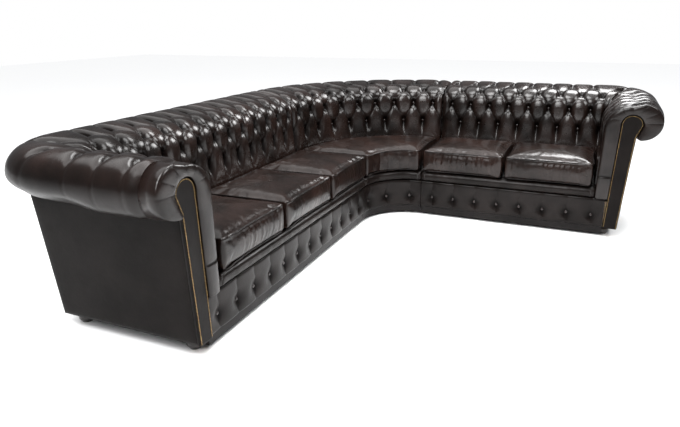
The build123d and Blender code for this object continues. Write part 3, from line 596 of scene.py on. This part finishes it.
def outside_panel(name, unit, on_arm):
    """Plain panel: a leaning sheet, padded outwards by the product of two quarter circles, flat inside."""
    share = held(np.linspace(0, 1, PANEL_COLUMNS))[:, None]
    up = np.linspace(0, 1, PANEL_ROWS)[None, :]
    z = np.concatenate([FOOT_HEIGHT + (PANEL_TOP - FOOT_HEIGHT) * up, [[PANEL_TOP, FOOT_HEIGHT]]], 1)
    swell = (rounded(np.minimum(up, 1 - up) / PANEL_ROUND_UP)
             * rounded(np.minimum(share, 1 - share) / PANEL_ROUND_ALONG))
    inwards = np.concatenate([PANEL_SWELL * (1 - swell), np.full((len(share), 2), PANEL_THICK)], 1)
    if on_arm:
        stop = FACING_BACK - FIT
        depth = back_out(z) + (stop - back_out(z)) * share
        points = place(unit, ARM_FACE[unit] + arm_out(z) - inwards, depth, z)
    elif unit == "corner":
        start, stop = run_ends(unit)
        points = place(unit, start + (stop - start) * share, back_out(z) + inwards, z)
    else:
        stop = ARM_FACE[unit] + arm_out(z) - PANEL_THICK - FIT
        points = place(unit, RUN_START + (stop - RUN_START) * share, back_out(z) + inwards, z)
    return new_piece(name, points, *ring_faces(*points.shape[:2]))


# Cushion stuffing: voxel, start smaller than the solid by, largest movement of a point, share of the movement
# kept sideways and upwards, frames, the cover as cloth, swell of the edge, rest above the deck
CUSHION_VOXEL = 0.006
CUSHION_SHRINK = 0.006
CUSHION_CAP = 0.012
CUSHION_YIELD = np.array([0.3, 0.3, 1.0])
CUSHION_FRAMES = 20
COVER = {
    "quality": 4, "mass": 0.4, "tension_stiffness": 12, "compression_stiffness": 12, "bending_stiffness": 1.5,
    "use_pressure": True, "uniform_pressure_force": 4.0,
}
EDGE_BEAD = 0.005
DECK_CLEAR = 0.0008
# Wrinkles: height of the upright folds and of the slack lines, upward normal at which the top begins
FOLD_HEIGHT, SLACK_HEIGHT = 0.0023, 0.0012
TOP_FROM, TOP_OVER = 0.08, 0.3
# Welts: heights above the cushion's foot, band of points that they follow, radius, steps along and around
SEAM_RISE, SEAM_FOOT = 0.131, 0.010
WELT_BAND = 0.006
WELT_RADIUS = 0.003
WELT_STEPS, WELT_AROUND = 240, 8


def mesh_points(mesh):
    """Vertex places of a mesh as an array."""
    points = np.empty(len(mesh.vertices) * 3, np.float32)
    mesh.vertices.foreach_get("co", points)
    return points.reshape(-1, 3).astype(float)


def settled(piece):
    """Mesh of a piece with its modifiers worked out."""
    graph = bpy.context.evaluated_depsgraph_get()
    return bpy.data.meshes.new_from_object(piece.evaluated_get(graph))


def cushion_blank(name, node):
    """Copy of a cushion's solid, joined up, drawn in along its normals and remeshed in small even squares."""
    mesh = frame["nodes"][node].data.copy()
    blank = bpy.data.objects.new(name, mesh)
    bpy.context.scene.collection.objects.link(blank)
    weld = blank.modifiers.new("weld", "WELD")
    weld.merge_threshold = 0.0002
    draw_in = blank.modifiers.new("draw_in", "DISPLACE")
    draw_in.strength, draw_in.mid_level = -CUSHION_SHRINK, 0.0
    squares = blank.modifiers.new("squares", "REMESH")
    squares.mode, squares.voxel_size = "VOXEL", CUSHION_VOXEL
    even = blank.modifiers.new("even", "SMOOTH")
    even.iterations = 4
    mesh = settled(blank)
    blank.modifiers.clear()
    blank.data = mesh
    return blank


def wrinkle(points, normal, seed):
    """Creases of a sat-on cover, pushed along the normal by sums of sines of the place: upright folds down
    the sides, stronger in some places, and slack lines on the top that run out from the middle."""
    low, high = points.min(0), points.max(0)
    share = (points - (low + high) / 2) / ((high - low) / 2)
    top = ease((normal[:, 2] - TOP_FROM) / TOP_OVER)
    along = points[:, 0] - points[:, 1]
    places = 0.5 + 0.5 * np.sin(along * 17 + seed * 1.9) * np.sin(along * 7.3 + seed)
    folds = ripple(
        (along, 210, seed, 0.5), (along, 347, 2.1 * seed, 0.35), (along + 0.1 * points[:, 2], 121, seed, 0.4))
    push = FOLD_HEIGHT * folds * places * (1 - top) * ease((normal[:, 2] + 0.6) / 0.3)
    radius = np.hypot(share[:, 0], share[:, 1])
    angle = np.arctan2(share[:, 1], share[:, 0])
    curl = radius + 0.3 * np.sin(3 * angle)
    slack = ripple((angle, 23, seed, 0.5), (angle, 37, 1.3 * seed, 0.35), (curl, 21, seed, 0.4))
    push += SLACK_HEIGHT * slack * top * ease((radius - 0.25) / 0.5) * (1.15 - np.clip(radius, 0, 1.1))
    return points + normal * push[:, None]


def stuff(blanks):
    """Blow all cushion covers up together as pressed cloth without weight. Each point's movement is damped
    sideways and held to the cap by a hyperbolic tangent. The cover swells a little along its normals where it
    turns over an edge, is wrinkled, and stays above the deck that it rests on."""
    rest = {blank.name: mesh_points(blank.data) for blank in blanks}
    for blank in blanks:
        cloth = blank.modifiers.new("cover", "CLOTH")
        for key, value in COVER.items():
            setattr(cloth.settings, key, value)
        cloth.settings.effector_weights.gravity = 0
        cloth.point_cache.frame_end = CUSHION_FRAMES
    for step in range(1, CUSHION_FRAMES + 1):
        bpy.context.scene.frame_set(step)
    bpy.context.scene.frame_set(CUSHION_FRAMES)
    for seed, blank in enumerate(blanks):
        points = mesh_points(settled(blank))
        blank.modifiers.clear()
        moved = (points - rest[blank.name]) * CUSHION_YIELD
        length = np.maximum(np.linalg.norm(moved, axis=1), 1e-9)[:, None]
        points = rest[blank.name] + moved * np.tanh(length / CUSHION_CAP) * CUSHION_CAP / length
        normal = np.empty(points.size, np.float32)
        blank.data.vertex_normals.foreach_get("vector", normal)
        normal = normal.reshape(-1, 3)
        upward = np.clip(normal[:, 2:], 0, 1) ** 2
        points += EDGE_BEAD * normal * 4 * upward * (1 - upward)
        points = wrinkle(points, normal, seed)
        points[:, 2] = np.maximum(points[:, 2], DECK_TOP + DECK_CLEAR)
        blank.data.vertices.foreach_set("co", points.astype(np.float32).ravel())
        blank.data.polygons.foreach_set("use_smooth", [True] * len(blank.data.polygons))
        blank.data.update()
    bpy.context.scene.frame_set(1)


def seam_welt(name, cushion, z):
    """Rolled welt round a cushion at a height: the farthest points of the cover in narrow angles about its
    middle, evened out along the line, carried as a thin round tube."""
    points = mesh_points(cushion.data)
    near = points[np.abs(points[:, 2] - z) < WELT_BAND]
    middle = (near.min(0) + near.max(0)) / 2
    flat = near[:, :2] - middle[:2]
    count = WELT_STEPS
    slot = (np.arctan2(flat[:, 1], flat[:, 0]) / (2 * math.pi) * count).astype(int) % count
    far = np.zeros(count)
    np.maximum.at(far, slot, np.hypot(flat[:, 0], flat[:, 1]))
    known = np.flatnonzero(far)
    far = np.interp(np.arange(count), known, far[known], period=count)
    kernel = np.array([1, 2, 3, 2, 1]) / 9
    far = np.convolve(np.concatenate([far[-2:], far, far[:2]]), kernel, "valid")
    turn = (np.arange(count) + 0.5) * 2 * math.pi / count
    line = np.stack([middle[0] + far * np.cos(turn), middle[1] + far * np.sin(turn), np.full(count, z)], 1)
    ahead = np.roll(line, -1, 0) - np.roll(line, 1, 0)
    side = np.cross(ahead / np.linalg.norm(ahead, axis=1)[:, None], (0, 0, 1))
    round_turn = np.arange(WELT_AROUND) * 2 * math.pi / WELT_AROUND
    tube = (line[:, None] + WELT_RADIUS * np.cos(round_turn)[None, :, None] * side[:, None]
            + WELT_RADIUS * np.sin(round_turn)[None, :, None] * np.array([0, 0, 1]))
    faces = ring_faces(count + 1, WELT_AROUND)[0]
    return new_piece(name, tube, faces % (count * WELT_AROUND))


def make_node(tree, kind, values=None, **settings):
    """Shader node with its settings and the values of its inputs, by name or number."""
    made = tree.nodes.new(kind)
    for key, value in settings.items():
        setattr(made, key, value)
    for key, value in (values or {}).items():
        made.inputs[key].default_value = value
    return made


def wire(tree, *joins):
    """Link shader nodes, each join being a node, its output, the next node and its input."""
    for first, output, second, socket in joins:
        tree.links.new(first.outputs[output], second.inputs[socket])


def shader_group(name, inputs, outputs):
    """Empty shader node group with named sockets, and its two end nodes."""
    tree = bpy.data.node_groups.new(name, "ShaderNodeTree")
    for label, kind in inputs:
        tree.interface.new_socket(label, in_out="INPUT", socket_type=kind)
    for label, kind in outputs:
        tree.interface.new_socket(label, in_out="OUTPUT", socket_type=kind)
    return tree, tree.nodes.new("NodeGroupInput"), tree.nodes.new("NodeGroupOutput")


def math_node(tree, operation, first, second):
    """Math node of two sources, each a number or a socket."""
    made = tree.nodes.new("ShaderNodeMath")
    made.operation = operation
    for i, source in enumerate((first, second)):
        if isinstance(source, (int, float)):
            made.inputs[i].default_value = source
        else:
            tree.links.new(source, made.inputs[i])
    return made.outputs[0]


def hide_group():
    """Leather: noise mottles it between two colours, the crease attribute paints shade into it, darkening it
    and taking its gloss, and roughens it, distorted noise wrinkles it and small cells give it a grain."""
    tree, source, result = shader_group(
        "leather_hide",
        [("Deep", "NodeSocketColor"), ("Worn", "NodeSocketColor"), ("Wear", "NodeSocketFloat"),
         ("Roughness", "NodeSocketFloat"), ("Gloss", "NodeSocketFloat"), ("Wrinkle", "NodeSocketFloat")],
        [("Color", "NodeSocketColor"), ("Roughness", "NodeSocketFloat"), ("Gloss", "NodeSocketFloat"),
         ("Height", "NodeSocketFloat")])
    where = tree.nodes.new("ShaderNodeTexCoord").outputs["Object"]
    crease = make_node(tree, "ShaderNodeAttribute", attribute_name="crease").outputs["Fac"]
    mottle = make_node(tree, "ShaderNodeTexNoise", {"Scale": 5.0, "Detail": 4.0, "Roughness": 0.6})
    lines = make_node(
        tree, "ShaderNodeTexNoise", {"Scale": 34.0, "Detail": 5.0, "Roughness": 0.62, "Distortion": 0.9})
    grain = make_node(tree, "ShaderNodeTexVoronoi", {"Scale": 300.0})
    for texture in (mottle, lines, grain):
        tree.links.new(where, texture.inputs["Vector"])
    spread_out = make_node(tree, "ShaderNodeMapRange", {"From Min": 0.38, "From Max": 0.68})
    tree.links.new(mottle.outputs["Fac"], spread_out.inputs["Value"])
    times, plus, less = (partial(math_node, tree, kind) for kind in ("MULTIPLY", "ADD", "SUBTRACT"))
    # Wear shows only where the crease attribute paints no shade
    open_hide = less(1.0, crease)
    wear = times(times(spread_out.outputs["Result"], source.outputs["Wear"]), open_hide)
    colour = make_node(tree, "ShaderNodeMix", data_type="RGBA")
    tree.links.new(wear, colour.inputs["Factor"])
    # Painted shade: the colour multiplied towards dark brown by the crease attribute
    painted_shade = make_node(
        tree, "ShaderNodeMix", {"B": (0.22, 0.17, 0.15, 1)}, data_type="RGBA", blend_type="MULTIPLY")
    tree.links.new(times(crease, 0.9), painted_shade.inputs["Factor"])
    wire(tree, (source, "Deep", colour, "A"), (source, "Worn", colour, "B"), (colour, "Result", painted_shade, "A"),
         (painted_shade, "Result", result, "Color"))
    uneven = times(less(lines.outputs["Fac"], 0.5), 0.28)
    dull = plus(uneven, times(crease, 0.2))
    tree.links.new(plus(source.outputs["Roughness"], dull), result.inputs["Roughness"])
    polish = plus(times(spread_out.outputs["Result"], 0.5), 0.6)
    # Painted shade takes the gloss as well, where the crease attribute is high
    polish = times(polish, less(1.0, times(crease, 0.9)))
    tree.links.new(times(polish, source.outputs["Gloss"]), result.inputs["Gloss"])
    folds = times(lines.outputs["Fac"], source.outputs["Wrinkle"])
    fine = times(grain.outputs["Distance"], 0.10)
    tree.links.new(plus(folds, fine), result.inputs["Height"])
    return tree


HIDE = hide_group()


def leather(name, deep, worn, wear, roughness, wrinkle, gloss):
    """Leather finish: the shared hide group, with little shine of its own, under a coat as strong as the
    group's gloss."""
    material = bpy.data.materials.new(name)
    material.use_nodes = True
    tree = material.node_tree
    shader = tree.nodes["Principled BSDF"]
    shader.inputs["Specular IOR Level"].default_value = 0.06
    shader.inputs["Coat Roughness"].default_value = 0.7 * roughness
    values = {"Deep": (*deep, 1), "Worn": (*worn, 1), "Wear": wear, "Roughness": roughness, "Gloss": gloss,
              "Wrinkle": wrinkle}
    hide = make_node(tree, "ShaderNodeGroup", values, node_tree=HIDE)
    bump = make_node(tree, "ShaderNodeBump", {"Strength": 0.5, "Distance": 0.004})
    wire(tree, (hide, "Color", shader, "Base Color"), (hide, "Roughness", shader, "Roughness"),
         (hide, "Gloss", shader, "Coat Weight"), (hide, "Height", bump, "Height"),
         (bump, "Normal", shader, "Normal"))
    return material


def streaked(name, light, dark, scale, stretch, roughness, metallic=0.0):
    """Wood, woven or metal finish: stretched noise between two colours, raised a little."""
    material = bpy.data.materials.new(name)
    material.use_nodes = True
    tree = material.node_tree
    shader = tree.nodes["Principled BSDF"]
    shader.inputs["Roughness"].default_value = roughness
    shader.inputs["Metallic"].default_value = metallic
    where = tree.nodes.new("ShaderNodeTexCoord")
    turn = make_node(tree, "ShaderNodeMapping", {"Scale": stretch})
    noise = make_node(tree, "ShaderNodeTexNoise", {"Scale": scale, "Detail": 5.0, "Distortion": 0.4})
    ramp = tree.nodes.new("ShaderNodeValToRGB")
    ramp.color_ramp.elements[0].position, ramp.color_ramp.elements[1].position = 0.35, 0.7
    ramp.color_ramp.elements[0].color, ramp.color_ramp.elements[1].color = (*dark, 1), (*light, 1)
    bump = make_node(tree, "ShaderNodeBump", {"Strength": 0.4, "Distance": 0.0006})
    wire(tree, (where, "Object", turn, "Vector"), (turn, "Vector", noise, "Vector"),
         (noise, "Fac", ramp, "Fac"), (ramp, "Color", shader, "Base Color"),
         (noise, "Fac", bump, "Height"), (bump, "Normal", shader, "Normal"))
    return material


# Hides: deep and worn colour, wear, roughness, wrinkles and gloss
HIDES = {
    "hide": ("tufted_hide", (0.0050, 0.0033, 0.0027), (0.017, 0.0086, 0.0066), 0.8, 0.29, 0.25, 0.84),
    "seat_hide": ("seat_hide", (0.0058, 0.0036, 0.0029), (0.0185, 0.0095, 0.0073), 0.8, 0.32, 0.4, 0.48),
    "border_hide": ("border_hide", (0.0048, 0.0035, 0.0031), (0.011, 0.0073, 0.0064), 0.7, 0.34, 0.3, 0.17),
    "panel_hide": ("panel_hide", (0.0038, 0.0029, 0.0025), (0.0070, 0.0050, 0.0044), 0.7, 0.46, 0.3, 0.05),
    "plinth_hide": ("plinth_hide", (0.0050, 0.0038, 0.0037), (0.010, 0.0072, 0.0068), 0.6, 0.36, 0.2, 0.22),
    "button_hide": ("button_hide", (0.0080, 0.0045, 0.0040), (0.022, 0.0100, 0.0085), 0.6, 0.26, 0.1, 0.9),
}
# Other finishes: light and dark colour, scale and stretch of the noise, roughness and metal
STREAKS = {
    "trim_brass": ("beaded_brass", (0.44, 0.31, 0.14), (0.24, 0.15, 0.06), 90, (1, 1, 1), 0.38, 1.0),
    "foot_wood": ("stained_foot", (0.020, 0.014, 0.012), (0.009, 0.007, 0.006), 30, (1, 1, 4), 0.35),
    "frame_wood": ("raw_beech", (0.62, 0.45, 0.28), (0.42, 0.28, 0.16), 18, (1, 1, 6), 0.6),
    "webbing": ("woven_strap", (0.34, 0.27, 0.18), (0.12, 0.09, 0.06), 220, (1, 1, 1), 0.8),
    "deck_cloth": ("platform_cloth", (0.030, 0.026, 0.025), (0.016, 0.014, 0.014), 400, (1, 1, 1), 0.85),
    "dust_cloth": ("dust_cloth", (0.022, 0.022, 0.022), (0.010, 0.010, 0.010), 500, (1, 1, 1), 0.9),
    "bracket_steel": ("zinc_plate", (0.55, 0.55, 0.54), (0.38, 0.38, 0.38), 60, (1, 8, 1), 0.35, 1.0),
}
FINISH = {slot: leather(*values) for slot, values in HIDES.items()}
FINISH.update({slot: streaked(*values) for slot, values in STREAKS.items()})

# Tufted backs and arms
rows = np.concatenate([
    np.linspace(-2, 0, TUCK_STEPS, endpoint=False), np.linspace(0, 3, 3 * FINE, endpoint=False),
    np.linspace(3, 5, 2 * FINE + 1)])
for unit in UNITS:
    fan = 0 if unit == "corner" else FAN_COLUMNS
    pad = tufted_pad(f"{unit}_tufted_back", unit, 0, COLUMNS[unit] + fan, rows)
    dress(pad, f"{unit}_back_pad", FINISH["hide"])
    if unit != "corner":
        first = COLUMNS[unit] + FAN_COLUMNS
        pad = tufted_pad(f"{unit}_tufted_arm", unit, first, first + ARM_COLUMNS, rows)
        dress(pad, f"{unit}_arm_pad", FINISH["hide"])
    points, normals = (np.concatenate(pair) for pair in zip(button_places(unit), border_places(unit)))
    domes = studs(f"{unit}_covered_buttons", points, normals, BUTTON_RADIUS, BUTTON_RISE, 12, 5)
    dress(domes, f"{unit}_buttons", FINISH["button_hide"])

# Lip, deck, border and outside panels of each unit
for unit in UNITS:
    lip_stop = 0.0 if unit == "corner" else -RING_SWELL - FIT
    lip = padded_run(
        f"{unit}_padded_lip", unit, (LIP_BACK + LIP_FRONT) / 2, (LIP_BOTTOM + LIP_TOP) / 2,
        (LIP_FRONT - LIP_BACK) / 2, (LIP_TOP - LIP_BOTTOM) / 2, LIP_SQUARE, lip_stop, LIP_WAVE)
    dress(lip, f"{unit}_seat_lip", FINISH["border_hide"])
    deck_stop = 0.0 if unit == "corner" else DECK_PAST
    deck = padded_run(
        f"{unit}_sprung_deck", unit, (DECK_BACK + LIP_BACK) / 2, (DECK_BOTTOM + DECK_TOP) / 2,
        (LIP_BACK - DECK_BACK) / 2 - FIT, (DECK_TOP - DECK_BOTTOM) / 2, DECK_SQUARE, deck_stop, 0.0)
    dress(deck, f"{unit}_seat_deck", FINISH["deck_cloth"])
    border = border_run(f"{unit}_buttoned_border", unit)
    dress(border, f"{unit}_front_border", FINISH["border_hide"])
    dress(outside_panel(f"{unit}_plain_back", unit, False), f"{unit}_outside_back", FINISH["panel_hide"])

# Arm fronts
for unit in SIDES:
    dress(outside_panel(f"{unit}_plain_arm", unit, True), f"{unit}_outside_arm", FINISH["panel_hide"])
    dress(arm_ring(f"{unit}_pleated_ring", unit), f"{unit}_arm_ring", FINISH["hide"])
    dress(arm_facing(f"{unit}_flat_facing", unit), f"{unit}_arm_facing", FINISH["panel_hide"])
    dress(beaded_line(f"{unit}_beaded_line", unit), f"{unit}_facing_trim", FINISH["trim_brass"])

# Seat cushions, stuffed together
cushion_nodes = [node for node in sorted(frame["nodes"]) if "seat_cushion" in node]
blanks = [cushion_blank(node.replace("seat_cushion", "stuffed_cushion"), node) for node in cushion_nodes]
stuff(blanks)
for blank, node in zip(blanks, cushion_nodes):
    dress(blank, node, FINISH["seat_hide"])
    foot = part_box(node)[0].z
    for edge, z in (("top", foot + SEAM_RISE), ("bottom", foot + SEAM_FOOT)):
        welt = seam_welt(f"{blank.name}_{edge}_welt", blank, z)
        welt.data.materials.append(FINISH["border_hide"])
        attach(welt, body_of[node])

# CAD nodes that show as they are
for node, solid in frame["nodes"].items():
    if not solid.hide_render:
        solid.data.materials.clear()
        solid.data.materials.append(FINISH[slot_of[node]])

# Pale floor
bpy.ops.mesh.primitive_plane_add(size=30, location=(0, 0, 0))
floor = bpy.context.object
floor.name = "pale_floor"
floor_paint = bpy.data.materials.new("pale_floor")
floor_paint.use_nodes = True
paint = floor_paint.node_tree.nodes["Principled BSDF"]
paint.inputs["Base Color"].default_value = (0.92, 0.92, 0.92, 1)
paint.inputs["Roughness"].default_value = 0.8
paint.inputs["Specular IOR Level"].default_value = 0.0
floor.data.materials.append(floor_paint)

# Room: it lights softly and the camera sees it white
world = bpy.data.worlds.new("soft_room")
bpy.context.scene.world = world
world.use_nodes = True
room = world.node_tree
ambient = room.nodes["Background"]
ambient.inputs["Color"].default_value = (0.93, 0.96, 1.0, 1)
ambient.inputs["Strength"].default_value = 0.2
backdrop = make_node(room, "ShaderNodeBackground", {"Color": (1, 1, 1, 1), "Strength": 1.0})
seen = room.nodes.new("ShaderNodeLightPath")
choice = room.nodes.new("ShaderNodeMixShader")
wire(room, (seen, "Is Camera Ray", choice, 0), (ambient, 0, choice, 1), (backdrop, 0, choice, 2),
     (choice, 0, room.nodes["World Output"], "Surface"))


def softbox(name, spot, target, size, power):
    """Square area light that faces a target."""
    light = bpy.data.lights.new(name, "AREA")
    light.size, light.energy = size, power
    lamp = bpy.data.objects.new(name, light)
    lamp.location = spot
    lamp.rotation_euler = (Vector(target) - Vector(spot)).to_track_quat("-Z", "Y").to_euler()
    lamp.visible_camera = False
    bpy.context.scene.collection.objects.link(lamp)


softbox("ceiling_light", (-0.1, 0.2, 3.3), (-0.2, 0.3, 0.4), 1.2, 74)
softbox("front_light", (-0.2, -2.9, 3.9), (0.4, 1.1, 0.6), 2.0, 185)
softbox("low_light", (-0.1, -3.4, 2.3), (0.3, 1.1, 0.6), 1.4, 45)
softbox("side_light", (2.6, 0.0, 3.4), (-0.8, 1.0, 0.6), 1.6, 110)
softbox("far_light", (0.9, 2.2, 2.4), (-0.4, -0.6, 0.45), 1.2, 85)
sky_light = bpy.data.lights.new("sky_light", "SUN")
sky_light.energy, sky_light.angle = 2.7, math.radians(70)
sky_lamp = bpy.data.objects.new("sky_light", sky_light)
sky_lamp.rotation_euler = Vector((0.25, -0.1, -1)).to_track_quat("-Z", "Y").to_euler()
bpy.context.scene.collection.objects.link(sky_lamp)

# Camera solved from the photograph: turn, tilt, roll, focal length in pixels of its width, sensor and shift
YAW, TILT, ROLL = math.radians(23.505), math.radians(-16.72), math.radians(-0.52)
PHOTO_WIDTH, FOCAL = 680, 584.0
SENSOR = 36
SHIFT = (-0.0061, -0.0270)
EYE = Vector((CORNER_X + 1.929, CORNER_Y - 4.1089, 1.187))
ahead = Vector((-math.sin(YAW) * math.cos(TILT), math.cos(YAW) * math.cos(TILT), math.sin(TILT)))
level = Vector((math.cos(YAW), math.sin(YAW), 0))
right = math.cos(ROLL) * level + math.sin(ROLL) * level.cross(ahead)
view_turn = Matrix((right, right.cross(ahead), -ahead)).transposed()
lens = bpy.data.cameras.new("photo_view")
lens.sensor_width = SENSOR
lens.lens = SENSOR * FOCAL / PHOTO_WIDTH
lens.shift_x, lens.shift_y = SHIFT
bpy.context.scene.view_settings.view_transform = "Standard"
camera = bpy.data.objects.new("photo_view", lens)
camera.matrix_world = Matrix.Translation(EYE) @ view_turn.to_4x4()
bpy.context.scene.collection.objects.link(camera)
bpy.context.scene.camera = camera
